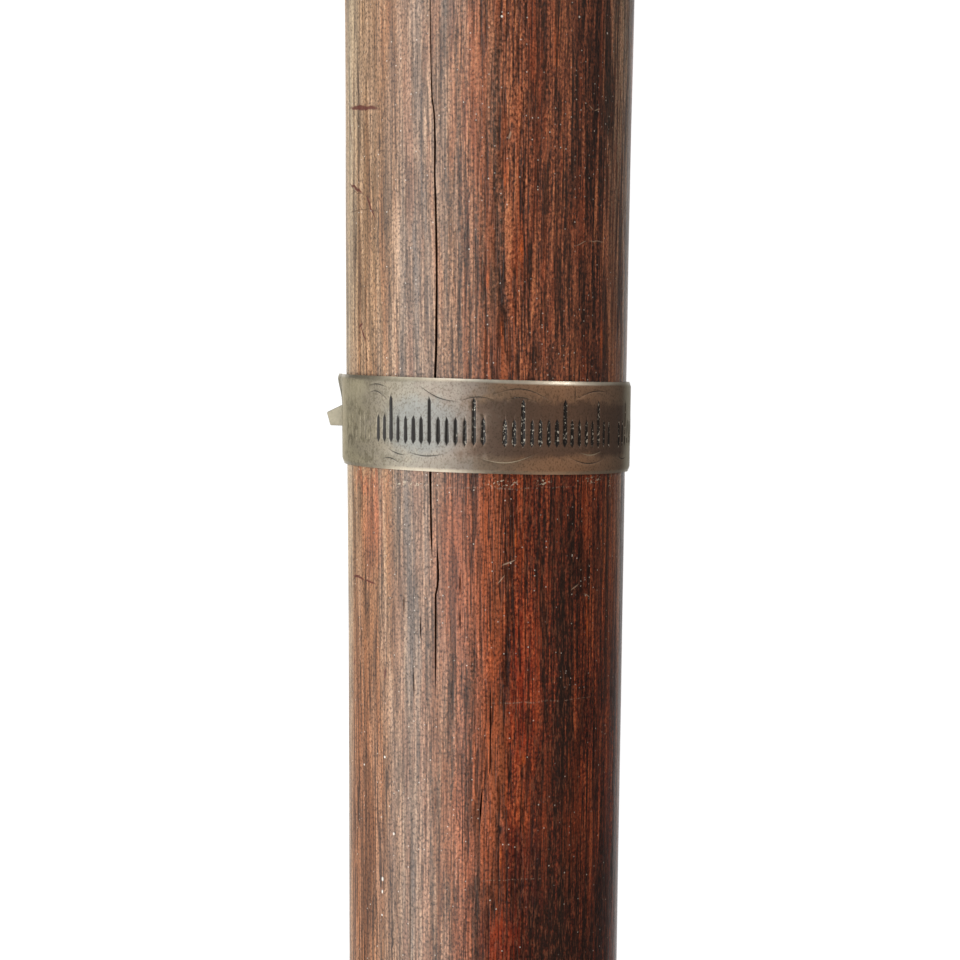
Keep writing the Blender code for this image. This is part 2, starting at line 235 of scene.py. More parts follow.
def make_shaft():
    """A profile spun round, then moved to the staff's line, opened at its splits and given its relief."""
    rows = shaft_rows()
    bm = bmesh.new()
    profile = [(0, HEAD_Y, 0), *((0, y, max(shaft_radius(y), HEAD_TIP_RADIUS)) for y in rows), (0, FOOT_Y, 0)]
    profile = [bm.verts.new(place) for place in profile]
    edges = [bm.edges.new(pair) for pair in zip(profile, profile[1:])]
    bmesh.ops.spin(
        bm, geom=profile + edges, cent=(0, 0, 0), axis=(0, 1, 0), angle=2 * math.pi, steps=COLUMNS,
        use_merge=True,
    )
    bmesh.ops.remove_doubles(bm, verts=bm.verts, dist=WELD_DISTANCE)
    bmesh.ops.recalc_face_normals(bm, faces=bm.faces)

    turn = 2 * math.pi / COLUMNS
    even_pitch = turn * body_radius(COLLAR_Y) / MM
    columns = []
    for line in SPLITS:
        column = round(sum(point[0] for point in line) / len(line) / even_pitch)
        columns.append(max(column, columns[-1] + 3) if columns else column)
    angle_layer = bm.verts.layers.float.new("angle")
    depth_layer = bm.verts.layers.float.new("split_depth")
    rings = {}
    for vertex in bm.verts:
        rings.setdefault(round(vertex.co.y / MM, 3), []).append(vertex)
    for ring in rings.values():
        y = ring[0].co.y
        along = (y - COLLAR_Y) / MM
        centre = shaft_centre(y)
        radius = shaft_radius(y)
        body = body_radius(y)
        pitch = turn * radius / MM
        splits = [split_at(line, along, column * pitch, pitch) for line, column in zip(SPLITS, columns)]
        knots = [columns[0] - SPLIT_REACH, *(at + side for at in columns for side in (-1, 0, 1))]
        knots.append(columns[-1] + SPLIT_REACH)
        places = [middle + side * half for middle, half, depth in splits for side in (-1, 0, 1)]
        places = [knots[0] * pitch, *places, knots[-1] * pitch]
        depths = {column: depth for column, (middle, half, depth) in zip(columns, splits)}
        for vertex in ring:
            out = math.hypot(vertex.co.x, vertex.co.z)
            if out < HEAD_TIP_RADIUS / 2:
                vertex.co = centre
                continue
            column = round(math.atan2(vertex.co.x, vertex.co.z) / turn)
            across = column * pitch
            if knots[0] < column < knots[-1]:
                across = float(np.interp(column, knots, places))
            angle = across * MM / radius
            depth = depths.get(column, 0.0)
            height = relief(across, along, around(centre, angle, out)) * out / body - depth
            vertex.co = around(centre, angle, out + height * MM)
            vertex.co.z = max(vertex.co.z, 0.0)
            vertex[angle_layer] = angle
            vertex[depth_layer] = depth

    places_map = bm.loops.layers.uv.new("places")
    bake_map = bm.loops.layers.uv.new("OFBake")
    shares = {}
    for step, key in enumerate(sorted(rings, reverse=True)):
        y = rings[key][0].co.y
        height = 1 - (step / (len(rings) - 1) + (HEAD_Y - y) / STAFF_LENGTH) / 2
        shares[key] = (body_radius(y) / MM, height)
    for face in bm.faces:
        angles = [loop.vert[angle_layer] for loop in face.loops]
        near_seam = max(angles) - min(angles) > math.pi
        for loop, angle in zip(face.loops, angles):
            if near_seam and angle < 0:
                angle += 2 * math.pi
            y = loop.vert.co.y
            radius, height = shares[round(y / MM, 3)]
            loop[places_map].uv = (angle * radius, (y - COLLAR_Y) / MM)
            loop[bake_map].uv = (angle / (2 * math.pi) + 0.5, height)
    shaft = add_object("staff_shaft", bm)
    shaft.data.shade_smooth()
    shaft.data.set_sharp_from_angle(angle=WOOD_SHARP_ANGLE)
    return shaft


def linear(colour):
    """A colour written as sRGB hex, turned to the linear values that shaders take."""
    parts = [int(colour[place:place + 2], 16) / 255 for place in (1, 3, 5)]
    return (*(part / 12.92 if part <= 0.04045 else ((part + 0.055) / 1.055) ** 2.4 for part in parts), 1.0)


def add(tree, kind, inputs=None, output=0, stops=None, **settings):
    """Add a shader node, set its settings, give each input its value or its link, and return one output."""
    node = tree.nodes.new("ShaderNode" + kind)
    for name, value in settings.items():
        setattr(node, name, value)
    for name, value in (inputs or {}).items():
        if isinstance(value, bpy.types.NodeSocket):
            tree.links.new(value, node.inputs[name])
        else:
            node.inputs[name].default_value = value
    for number, (place, colour) in enumerate(stops or ()):
        elements = node.color_ramp.elements
        element = elements[number] if number < 2 else elements.new(place)
        element.position = place
        element.color = linear(colour)
    return node.outputs[output]


def grain(tree, position, width, length, detail=1.0, shift=0.0):
    """Noise drawn out along the staff. Its marks are about so wide and so long, in millimetres."""
    scale = (1 / (width * MM), 1 / (length * MM), 1 / (width * MM))
    spot = add(tree, "VectorMath", {0: position, 1: scale, 2: (shift,) * 3}, operation="MULTIPLY_ADD")
    return add(tree, "TexNoise", {"Vector": spot, "Scale": 1.0, "Detail": detail, "Roughness": 0.5})


def fade(tree, value, low, high, start=0.0, end=1.0):
    """Go smoothly from start, where a value is at low, to end, where it is at high."""
    ends = {"Value": value, 1: low, 2: high, 3: start, 4: end}
    return add(tree, "MapRange", ends, interpolation_type="SMOOTHSTEP")


def mark(tree, places, across, along, half_width, half_length, lean=0.0, soft=0.5):
    """1 in the middle of a long mark, falling softly to 0 at its rim. Its lean to the right is in degrees."""
    spot = add(
        tree, "Mapping",
        {"Vector": places, "Location": (across, along, 0), "Rotation": (0, 0, -math.radians(lean)),
         "Scale": (half_width, half_length, 1)},
        vector_type="TEXTURE",
    )
    distance = add(tree, "VectorMath", {0: spot}, operation="LENGTH", output="Value")
    return fade(tree, distance, 1 - soft, 1.0, 1.0, 0.0)


def marks(tree, places, rows, soft=0.5):
    """A list of marks as one mask."""
    mask = 0.0
    for row in rows:
        mask = add(tree, "Math", {0: mark(tree, places, *row, soft=soft), 1: mask}, operation="MAXIMUM")
    return mask


def stain(tree, colour, mask, share, tint, blend="MIX"):
    """Lay a tint over a colour where a mask says, at most by the given share."""
    mask = add(tree, "Math", {0: mask, 1: share}, operation="MULTIPLY", use_clamp=True)
    return add(
        tree, "Mix", {0: mask, 6: colour, 7: linear(tint)}, output=2, data_type="RGBA", blend_type=blend,
    )


def weigh(tree, grains, weights, start, middle):
    """A tone from about 0 to 1: the grains added up by their weights on top of a start, less the middle."""
    for value, weight in zip(grains, weights):
        start = add(tree, "Math", {0: value, 1: weight, 2: start}, operation="MULTIPLY_ADD")
    return add(tree, "Math", {0: start, 1: middle}, operation="SUBTRACT")


# How much the bands, streaks, lines and grit each count in the tone, and what is taken off their sum
HEART_WEIGHTS = (1.4, 1.6, 2.1, 1.9)
HEART_MIDDLE = 3.00
DRY_WEIGHTS = (1.2, 1.5, 2.2, 1.6)
DRY_MIDDLE = 2.72

# Marks in the wood's colour: (round, along, half width, half length, how many degrees they lean to the right)
DARK_SCRATCHES = (
    (-16.6, 34.4, 0.32, 4.4, 95), (-19.9, 32.1, 0.16, 2.1, -29), (-18.3, 25.9, 0.18, 2.8, 109),
    (-14.8, 23.5, 0.18, 2.1, 146), (-16.3, 9.9, 0.17, 1.5, 141), (-16.9, 10.8, 0.22, 0.6, 60),
    (-17.6, -17.0, 0.20, 2.1, 95), (-14.9, -17.3, 0.15, 1.2, 102), (-12.0, -27.0, 0.16, 0.8, 4),
    (-19.0, -26.5, 0.20, 0.5, 8),
)
FINE_SCRATCHES = (
    (-17.8, 25.4, 0.09, 1.9, 100), (-17.3, 23.4, 0.09, 3.4, 90), (-15.7, 14.2, 0.10, 3.3, 0),
)
DARK_SPOTS = (
    (5.8, 38.0, 0.35, 0.6), (9.9, 21.6, 0.55, 0.8), (1.6, -43.5, 0.45, 0.6), (-13.2, 30.4, 0.25, 2.0),
    (-13.4, 21.0, 0.16, 4.5), (-15.6, 5.4, 0.14, 5.5), (-10.9, -57.0, 0.16, 5.0), (1.7, 16.2, 0.3, 2.6),
    (3.2, 6.8, 0.35, 2.4), (4.3, -42.5, 0.18, 3.6),
)
PALE_SCRATCHES = (
    (12.1, 34.0, 0.09, 0.5, 122), (13.1, 33.9, 0.09, 0.6, 75), (10.9, 19.6, 0.08, 0.9, 68),
    (13.3, 19.9, 0.08, 1.5, 94), (2.3, 30.8, 0.14, 0.5, 10), (10.4, -17.5, 0.10, 0.8, 60),
    (12.2, -18.6, 0.10, 0.7, 120), (2.4, -14.6, 0.10, 0.9, 70), (1.6, -16.4, 0.08, 0.7, 40),
)
COLLAR_LINES = ((-3.2, -6.6, 0.12, 18.0, 90), (6.6, -29.7, 0.12, 8.3, 90), (3.6, -49.0, 0.10, 5.2, 90))
CRUSTS = (
    (1.6, -6.0, 2.4, 0.7), (6.2, -6.0, 1.2, 0.6), (13.0, -5.9, 2.0, 0.7), (16.5, -6.5, 0.7, 1.6),
    (-9.0, -6.2, 5.0, 0.35),
)
# Small white specks painted as glints of light on the grain
GLINT_SPECKS = (
    (1.3, 43.1, 0.16, 0.16), (10.3, 43.5, 0.15, 0.15), (14.7, 42.2, 0.15, 0.15), (-12.1, -36.3, 0.18, 0.18),
    (-16.1, -37.7, 0.15, 0.15), (-10.7, -44.6, 0.16, 0.20), (-12.5, -49.9, 0.20, 0.30),
    (-12.5, -51.3, 0.15, 0.25), (-12.5, -53.9, 0.14, 0.14),
)
# Where the painted glints crowd
GLINTING_AREAS = (
    (8.0, 9.0, 7.0, 6.0), (11.5, 30.0, 6.0, 16.0), (11.5, -16.5, 3.0, 3.5), (9.5, -28.0, 5.0, 2.2),
    (3.0, -14.0, 2.5, 4.0),
)
DARK_AREAS = (
    (10.5, -14.5, 5.0, 16.0), (6.4, -11.5, 5.0, 9.0), (9.0, -36.0, 4.0, 14.0), (10.5, -56.0, 15.0, 18.0),
    (-1.0, -41.5, 1.6, 2.6), (11.5, 12.0, 2.0, 9.0), (12.2, 36.0, 1.6, 20.0), (-0.9, -50.4, 2.8, 1.7),
)
SMOOTH_AREAS = ((3.7, -46.2, 3.2, 5.4), (5.5, -51.0, 2.6, 2.0))
RED_AREAS = ((1.9, -56.0, 3.4, 4.8), (4.3, -28.0, 2.3, 12.0))
WARM_AREAS = (
    (-3.0, -15.0, 3.6, 15.0), (0.4, -14.0, 3.2, 17.0), (0.8, 4.0, 3.0, 12.0), (0.3, -38.0, 2.8, 20.0),
    (-14.5, -11.0, 3.0, 9.0), (-15.5, -6.5, 5.0, 2.0),
)
# Pale painted sheen down both sides, where the turned-away wood would catch the light at a grazing angle
RIM_SHEEN_AREAS = (
    (-22.2, 0.0, 4.4, 88.0), (-20.3, 45.0, 4.2, 62.0), (22.0, 0.0, 5.0, 88.0), (19.0, 40.0, 6.0, 70.0),
    (20.6, 0.0, 4.6, 48.0),
)
GLOWING_STREAKS = (
    (1.8, 26.8, 0.45, 2.5), (3.5, 18.7, 0.40, 2.4), (-0.1, 15.6, 0.30, 1.8), (1.5, 10.4, 0.35, 2.4),
    (7.4, 41.0, 0.50, 5.0), (1.5, -39.4, 0.24, 3.0), (1.7, -46.4, 0.30, 2.2), (4.2, -36.4, 0.30, 1.8),
    (9.8, -38.0, 0.16, 4.5), (3.0, -12.0, 0.45, 2.2), (12.4, -21.0, 0.35, 5.0), (14.2, 9.0, 0.40, 3.5),
)
TONGUE_AREAS = ((3.5, 14.0, 5.5, 10.0), (9.0, -20.0, 5.0, 18.0))
WORN_LOW = (-17.0, -45.0, 9.0, 48.0)
GREY_BAND = (-8.3, -10.0, 4.0, 150.0)
TAN_ABOVE = (-11.5, 44.0, 5.0, 26.0)
GREY_ABOVE = (-4.2, 46.0, 2.6, 9.0)
WARM_RIGHT = (17.5, 2.0, 4.0, 50.0)


def oiled_hardwood():
    """Oiled hardwood: satin red-brown with near-black fibre streaks and open pores, worn dry on the left."""
    material = bpy.data.materials.new("old oiled hardwood")
    material.use_nodes = True
    tree = material.node_tree
    shader = tree.nodes["Principled BSDF"]
    places = add(tree, "UVMap", uv_map="places")
    along = add(tree, "SeparateXYZ", {0: places}, output="Y")
    position = add(tree, "TexCoord", output="Object")

    # How far round from the front, worked out from the side: it has no seam underneath or on the domed head
    radius = body_radius(COLLAR_Y)
    across = add(tree, "SeparateXYZ", {0: position}, output="X")
    across = add(tree, "Math", {0: across, 1: 1 / radius}, operation="MULTIPLY")
    across = add(tree, "Math", {0: across}, operation="ARCSINE")
    across = add(tree, "Math", {0: across, 1: radius / MM}, operation="MULTIPLY")

    # The fibres run nearly straight, and wander only a little to both sides
    slow = add(tree, "VectorMath", {0: position, 1: (60, 20, 60)}, operation="MULTIPLY")
    sway = add(tree, "TexNoise", {"Vector": slow, "Scale": 1.0, "Detail": 2.0}, output="Color")
    fibre = add(tree, "VectorMath", {0: sway, 1: (0.0009, 0, 0.0009), 2: position}, operation="MULTIPLY_ADD")

    bands = grain(tree, fibre, 2.4, 60, detail=2.0)
    streaks = grain(tree, fibre, 0.62, 18, detail=3.0, shift=3.1)
    lines = grain(tree, fibre, 0.22, 12, detail=2.0, shift=7.7)
    grit = grain(tree, position, 0.24, 0.42, detail=2.0, shift=11.0)
    patches = grain(tree, fibre, 1.2, 20, detail=3.0, shift=60.0)
    from_front = add(tree, "Math", {0: across}, operation="ABSOLUTE")
    sides = add(tree, "MapRange", {"Value": from_front, 1: 8.0, 2: 16.0, 3: 0.0, 4: 3.0})
    uneven = add(tree, "Math", {0: streaks, 1: 0.5}, operation="SUBTRACT")
    coarse = add(tree, "Math", {0: uneven, 1: sides}, operation="MULTIPLY")
    tone = weigh(tree, (bands, streaks, lines, grit), HEART_WEIGHTS, coarse, HEART_MIDDLE)
    torn = add(tree, "VectorMath", {0: uneven, 1: (3.0, 9.0, 0), 2: places}, operation="MULTIPLY_ADD")
    dark = marks(tree, torn, DARK_AREAS, soft=0.9)
    tone = add(tree, "Math", {0: dark, 1: -0.34, 2: tone}, operation="MULTIPLY_ADD")
    dry_tone = weigh(tree, (bands, streaks, lines, grit), DRY_WEIGHTS, coarse, DRY_MIDDLE)

    # The heartwood is browner above the collar and redder below it, and the left side is worn dry and tan
    above = add(
        tree, "ValToRGB", {0: tone},
        stops=((0.0, "#2c1a12"), (0.25, "#553124"), (0.50, "#804832"), (0.75, "#a05c3e"), (1.0, "#c07850")),
    )
    under = add(
        tree, "ValToRGB", {0: tone},
        stops=((0.0, "#26110b"), (0.25, "#4a1d13"), (0.50, "#702f1d"), (0.75, "#984427"), (1.0, "#b9633c")),
    )
    worn = add(
        tree, "ValToRGB", {0: dry_tone},
        stops=((0.0, "#594131"), (0.25, "#775a43"), (0.50, "#8e6e54"), (0.75, "#a18064"), (1.0, "#ba977a")),
    )
    below = add(tree, "MapRange", {"Value": along, 1: 3.0, 2: -3.0})
    colour = add(tree, "Mix", {0: below, 6: above, 7: under}, output=2, data_type="RGBA")
    drift = add(tree, "Math", {0: bands, 1: 6.0, 2: across}, operation="MULTIPLY_ADD")
    drift = add(tree, "Math", {0: below, 1: 1.8, 2: drift}, operation="MULTIPLY_ADD")
    left_side = fade(tree, drift, 8.0, -5.0)
    colour = add(tree, "Mix", {0: left_side, 6: colour, 7: worn}, output=2, data_type="RGBA")

    # Tan and grey patches on the worn side, and glowing red ones in the heartwood
    heart_side = add(tree, "Math", {0: 1.0, 1: left_side}, operation="SUBTRACT")
    bright = fade(tree, patches, 0.50, 0.62)
    dull = fade(tree, patches, 0.50, 0.40)
    tan = add(tree, "Math", {0: bright, 1: left_side}, operation="MULTIPLY")
    grey = add(tree, "Math", {0: dull, 1: left_side}, operation="MULTIPLY")
    red = add(tree, "Math", {0: bright, 1: heart_side}, operation="MULTIPLY")
    colour = stain(tree, colour, tan, 0.45, "#9c6440")
    colour = stain(tree, colour, grey, 0.35, "#7b7168")
    colour = stain(tree, colour, red, 0.40, "#a04824")
    warm_edge = add(tree, "MapRange", {"Value": across, 1: -9.0, 2: -15.0})
    worn_low = mark(tree, places, *WORN_LOW, soft=0.8)
    colour = stain(tree, colour, warm_edge, 0.40, "#a98660")
    colour = stain(tree, colour, mark(tree, places, *GREY_BAND, soft=0.9), 0.30, "#827a74")
    colour = stain(tree, colour, worn_low, 0.46, "#96502c")
    colour = stain(tree, colour, mark(tree, torn, *TAN_ABOVE, soft=0.9), 0.25, "#a8704a")
    colour = stain(tree, colour, mark(tree, torn, *GREY_ABOVE, soft=0.9), 0.35, "#6e6862")
    colour = stain(tree, colour, marks(tree, torn, WARM_AREAS, soft=0.9), 0.55, "#b4623c")
    colour = stain(tree, colour, marks(tree, torn, SMOOTH_AREAS, soft=0.6), 0.60, "#57221a")
    colour = stain(tree, colour, marks(tree, torn, RED_AREAS, soft=0.7), 0.50, "#9a351b")
    colour = stain(tree, colour, dark, 0.30, "#2a1610")
    colour = stain(tree, colour, marks(tree, places, GLOWING_STREAKS, soft=0.9), 0.65, "#c9622b")
    # A pale sheen painted along both turned-away sides
    colour = stain(tree, colour, marks(tree, places, RIM_SHEEN_AREAS, soft=0.9), 0.55, "#c8b799")

    # Near-black tongues, long dark lines, and the pores as fine short ones
    strength = add(tree, "MapRange", {"Value": left_side, 3: 0.90, 4: 0.45})
    strength = add(tree, "Math", {0: worn_low, 1: 0.45, 2: strength}, operation="MULTIPLY_ADD")
    tongues = grain(tree, fibre, 0.44, 11.0, detail=2.0, shift=21.0)
    crowded = marks(tree, places, TONGUE_AREAS, soft=1.0)
    tongues = add(tree, "Math", {0: crowded, 1: 0.07, 2: tongues}, operation="MULTIPLY_ADD")
    tongues = fade(tree, tongues, 0.59, 0.63)
    long_lines = grain(tree, fibre, 0.30, 45.0, detail=1.0, shift=33.0)
    long_lines = add(tree, "MapRange", {"Value": long_lines, 1: 0.59, 2: 0.63, 4: 0.8})
    pores = grain(tree, fibre, 0.20, 7.0, detail=1.0, shift=40.0)
    pores = fade(tree, pores, 0.56, 0.61)
    tongues = add(tree, "Math", {0: tongues, 1: long_lines}, operation="MAXIMUM")
    tongue_share = add(tree, "Math", {0: tongues, 1: strength}, operation="MULTIPLY")
    pore_share = add(tree, "Math", {0: pores, 1: strength}, operation="MULTIPLY")
    colour = stain(tree, colour, tongue_share, 0.95, "#1e110c")
    colour = stain(tree, colour, pore_share, 0.80, "#22130d")
    side_lines = grain(tree, fibre, 0.95, 30.0, detail=3.0, shift=140.0)
    side_lines = fade(tree, side_lines, 0.53, 0.58)
    side_lines = add(tree, "Math", {0: side_lines, 1: sides}, operation="MULTIPLY")
    fewer = add(tree, "MapRange", {"Value": left_side, 3: 1.0, 4: 0.6})
    side_lines = add(tree, "Math", {0: side_lines, 1: fewer}, operation="MULTIPLY")
    colour = stain(tree, colour, mark(tree, torn, *WARM_RIGHT, soft=0.9), 0.35, "#a5643c")
    colour = stain(tree, colour, side_lines, 0.28, "#2c1b14")
    raised = grain(tree, fibre, 0.20, 1.3, detail=2.0, shift=160.0)
    raised = add(tree, "MapRange", {"Value": raised, 1: 0.52, 2: 0.66})
    raised = add(tree, "Math", {0: raised, 1: heart_side}, operation="MULTIPLY")
    colour = stain(tree, colour, raised, 0.45, "#90543a")

    # Fine dust and open fibre ends make the whole surface grainy. The pale specks are partly dust and partly
    # painted highlights, where light would catch the fine bumps.
    dust_and_sparkle = grain(tree, position, 0.22, 0.30, detail=2.0, shift=120.0)
    pale = add(tree, "MapRange", {"Value": dust_and_sparkle, 1: 0.52, 2: 0.68})
    ends = add(tree, "MapRange", {"Value": dust_and_sparkle, 1: 0.48, 2: 0.32})
    colour = stain(tree, colour, pale, 0.75, "#a6a19c", blend="DODGE")
    colour = stain(tree, colour, ends, 0.80, "#80706a", blend="MULTIPLY")

    # Scratches, the pale lines that the collar's edge wore elsewhere, crusts of lime, and small white specks
    # painted as glints of light on the grain
    shaky = grain(tree, position, 1.5, 1.5, detail=2.0, shift=80.0)
    shaky = add(tree, "Math", {0: shaky, 1: 0.6, 2: -0.3}, operation="MULTIPLY_ADD")
    shaky = add(tree, "VectorMath", {0: shaky, 1: (1, 1, 0), 2: places}, operation="MULTIPLY_ADD")
    colour = stain(tree, colour, marks(tree, shaky, DARK_SCRATCHES), 0.90, "#4f170c")
    colour = stain(tree, colour, marks(tree, shaky, FINE_SCRATCHES), 0.6, "#3a2418")
    colour = stain(tree, colour, marks(tree, shaky, DARK_SPOTS, soft=0.8), 0.8, "#1c100c")
    colour = stain(tree, colour, marks(tree, shaky, PALE_SCRATCHES), 0.6, "#b39a82")
    broken = add(tree, "MapRange", {"Value": lines, 1: 0.48, 2: 0.58})
    broken = add(tree, "Math", {0: marks(tree, shaky, COLLAR_LINES), 1: broken}, operation="MULTIPLY")
    colour = stain(tree, colour, broken, 0.45, "#a08a78")
    crumbs = grain(tree, position, 0.30, 0.24, detail=3.0, shift=90.0)
    crumbs = add(tree, "MapRange", {"Value": crumbs, 1: 0.57, 2: 0.61})
    crumbs = add(tree, "Math", {0: crumbs, 1: marks(tree, places, CRUSTS, soft=0.7)}, operation="MULTIPLY")
    colour = stain(tree, colour, crumbs, 0.80, "#c4b69e")
    # Painted glints: scattered white dots where the grain would catch the light
    cells = add(tree, "TexVoronoi", {"Vector": places, "Scale": 1.5}, voronoi_dimensions="2D")
    chance = add(tree, "SeparateXYZ", {0: cells.node.outputs["Color"]}, output="X")
    crowd = add(tree, "MapRange", {"Value": marks(tree, places, GLINTING_AREAS, soft=0.8), 3: 0.92, 4: 0.65})
    bright_ones = add(tree, "MapRange", {"Value": chance, 1: crowd, 2: 1.0})
    glint_dots = add(tree, "MapRange", {"Value": cells, 1: 0.06, 2: 0.14, 3: 1.0, 4: 0.0})
    glint_dots = add(tree, "Math", {0: glint_dots, 1: bright_ones}, operation="MULTIPLY")
    colour = stain(tree, colour, glint_dots, 0.9, "#dcd2c4")
    colour = stain(tree, colour, marks(tree, places, GLINT_SPECKS), 0.9, "#e2dace")

    # The splits are painted near-black inside, as the shade deep in them
    inside = add(tree, "Attribute", attribute_name="split_depth", output="Fac")
    inside = add(tree, "MapRange", {"Value": inside, 1: 0.02, 2: 0.5})
    colour = stain(tree, colour, inside, 1.0, "#120b08")

    height = add(tree, "Math", {0: pores, 1: -0.6}, operation="MULTIPLY")
    height = add(tree, "Math", {0: tongues, 1: -0.3, 2: height}, operation="MULTIPLY_ADD")
    height = add(tree, "Math", {0: lines, 1: 0.8, 2: height}, operation="MULTIPLY_ADD")
    height = add(tree, "Math", {0: grit, 1: 0.9, 2: height}, operation="MULTIPLY_ADD")
    bump = add(tree, "Bump", {"Height": height, "Strength": 0.6, "Distance": 0.05 * MM})
    roughness = add(tree, "MapRange", {"Value": left_side, 3: 0.30, 4: 0.48})
    shine = add(tree, "MapRange", {"Value": below, 3: 0.40, 4: 0.25})
    shine = add(tree, "MapRange", {"Value": left_side, 3: shine, 4: 0.50})
    tree.links.new(colour, shader.inputs["Base Color"])
    tree.links.new(roughness, shader.inputs["Roughness"])
    tree.links.new(shine, shader.inputs["Specular IOR Level"])
    tree.links.new(bump, shader.inputs["Normal"])
    shader.inputs["IOR"].default_value = 1.5
    return material


shaft = make_shaft()
shaft.data.materials.append(oiled_hardwood())
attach(shaft, "root")
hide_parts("shaft")

# The collar
# One strip of tarnished silver, engraved while it was flat and then wound round the shaft. At the back left
# its outer end laps over the inner one, whose narrow tongue comes out through a slot and is bent up.

STRIP_WIDTH = 10.0 * MM
STRIP_THICKNESS = 0.40 * MM
STRIP_PLAY = 0.12 * MM
LAP_GAP = 0.08 * MM
STRIP_SKEW = math.radians(1.6)
INNER_END_ANGLE = math.radians(102.5)
LAP_ANGLE = math.radians(5.5)
JOGGLE_ANGLE = math.radians(10)
JOGGLE_BEFORE_LAP = math.radians(1.5)
END_CORNER_RADIUS = 1.6 * MM
CORNER_SPRING = 0.7 * MM
SPRING_ANGLE = math.radians(28)
RIM_ROUNDING = 0.13 * MM
ROUNDED_EDGE_ANGLE = math.radians(60)
COLLAR_SHARP_ANGLE = math.radians(28)
WAVE_HEIGHT = 0.04 * MM         # low waves run over the strip, so long and so wide
WAVE_LENGTH = 4 * MM
WAVE_WIDTH = 3 * MM

TONGUE_ANGLE = math.radians(100)
TONGUE_ROOT_ANGLE = math.radians(2)  # how far the tongue's root reaches into the strip
TONGUE_WIDTH = 2.5 * MM
TONGUE_TIP_WIDTH = 1.5 * MM
TONGUE_OFF_CENTRE = 0.29 * MM
TONGUE_THICKNESS = 0.36 * MM
TONGUE_REACH = 2.3 * MM
TONGUE_TIP_SLANT = 0.4 * MM
TONGUE_BEND_RADIUS = 0.5 * MM
SLOT_CLEARANCE = 0.15 * MM

# The rows of plain upright strokes: where each row starts round the shaft, and how many strokes it has
STROKE_ROWS = ((-19.2, 6), (-13.0, 14), (1.9, 15), (17.9, 8))
STROKE_PITCH = 0.97
STROKE_BASE = -2.2
SHORT_STROKE = 3.2
TALL_STROKE = 5.3
TALL_EVERY = 5
STROKE_HALF_WIDTH = 0.41
STROKE_TIP = 0.5
STROKE_POINT = 0.02             # half the width of a stroke's pointed ends
STROKE_NARROWING = 0.8          # a stroke's width near its top, as a share of that near its foot
FOOT_DRIFT = 0.12               # how much the hand wavered in the strokes' feet, their lean and their width
LEAN_DRIFT = 0.05
WIDTH_DRIFT = 0.2
GRAVER_LIFT = 0.28              # the graver's line runs over the face by this share of its half width
GRAVER_FLATNESS = 0.50          # its cuts are this much shallower than a right-angled V

# The hairline scrolls: (round, along) of the start, (round, along) of the end, and the bow towards the head
SCROLLS = (
    (-14.6, 3.95, -11.6, 3.80, 0.25), (-14.7, 3.10, -11.8, 2.60, 0.50), (-7.4, 4.15, -3.0, 2.60, -0.45),
    (-2.8, 2.65, 0.7, 2.90, 0.35), (0.6, 3.40, 6.9, 2.85, 0.95), (1.8, 2.80, 5.3, 2.70, 0.42),
    (9.97, 4.40, 9.99, 2.75, 0.0), (10.2, 3.15, 15.4, 3.80, 0.50), (-11.4, -2.80, -9.0, -3.36, -0.15),
    (-12.3, -3.85, -10.0, -4.20, 0.25), (-8.8, -3.00, -4.4, -3.00, -0.35), (-0.9, -3.35, 5.4, -2.70, -0.75),
    (9.0, -3.05, 14.6, -3.35, -0.60), (10.6, -2.60, 14.0, -2.50, -0.35), (17.5, -3.00, 20.5, -3.20, -0.35),
)
HAIRLINE_HALF_WIDTH = 0.13
SCROLL_STEPS = 20
WORN_ROW = 0                    # the leftmost row is worn almost away
WORN_SHARE = 0.30

STRIP_STEPS = 420
STRIP_ROWS = 20
RIM_ROLL = 0.55 * MM            # within this of its rims the strip's face rolls over by wear
RIM_DROP = 0.17 * MM
FACE = STRIP_THICKNESS / 2
LAYER_STEP = STRIP_THICKNESS + LAP_GAP
OUTER_END_ANGLE = INNER_END_ANGLE + 2 * math.pi + LAP_ANGLE
STRIP_RADIUS = body_radius(COLLAR_Y) + STRIP_PLAY + FACE
STRIP_LENGTH = (OUTER_END_ANGLE - INNER_END_ANGLE) * STRIP_RADIUS
FRONT = (2 * math.pi - INNER_END_ANGLE) * STRIP_RADIUS  # how far along the strip its front line is


def end_inset(across):
    """How much the outer end is cut back near its two rounded corners."""
    past = abs(across) - (STRIP_WIDTH / 2 - END_CORNER_RADIUS)
    if past <= 0:
        return 0.0
    return END_CORNER_RADIUS - math.sqrt(max(END_CORNER_RADIUS ** 2 - past ** 2, 0.0))


def apply_modifiers(item):
    """Swap an object's mesh for what its modifiers make of it."""
    shaped = item.evaluated_get(bpy.context.evaluated_depsgraph_get())
    mesh = bpy.data.meshes.new_from_object(shaped)
    item.modifiers.clear()
    item.data = mesh


def cut(item, tool, operation="DIFFERENCE"):
    """Cut a tool out of an object, or join it, and remove the tool."""
    step = item.modifiers.new("cut", "BOOLEAN")
    step.object = tool
    step.operation = operation
    apply_modifiers(item)
    bpy.data.objects.remove(tool)


def add_plate(name, bm, thickness, rounding):
    """A flat sheet given its thickness, half to each side, with its edges rounded."""
    plate = add_object(name, bm)
    step = plate.modifiers.new("thickness", "SOLIDIFY")
    step.thickness = thickness
    step.offset = 0
    step.use_even_offset = True
    step = plate.modifiers.new("rounding", "BEVEL")
    step.limit_method = "ANGLE"
    step.angle_limit = ROUNDED_EDGE_ANGLE
    step.width = rounding
    step.segments = 3
    apply_modifiers(plate)
    return plate


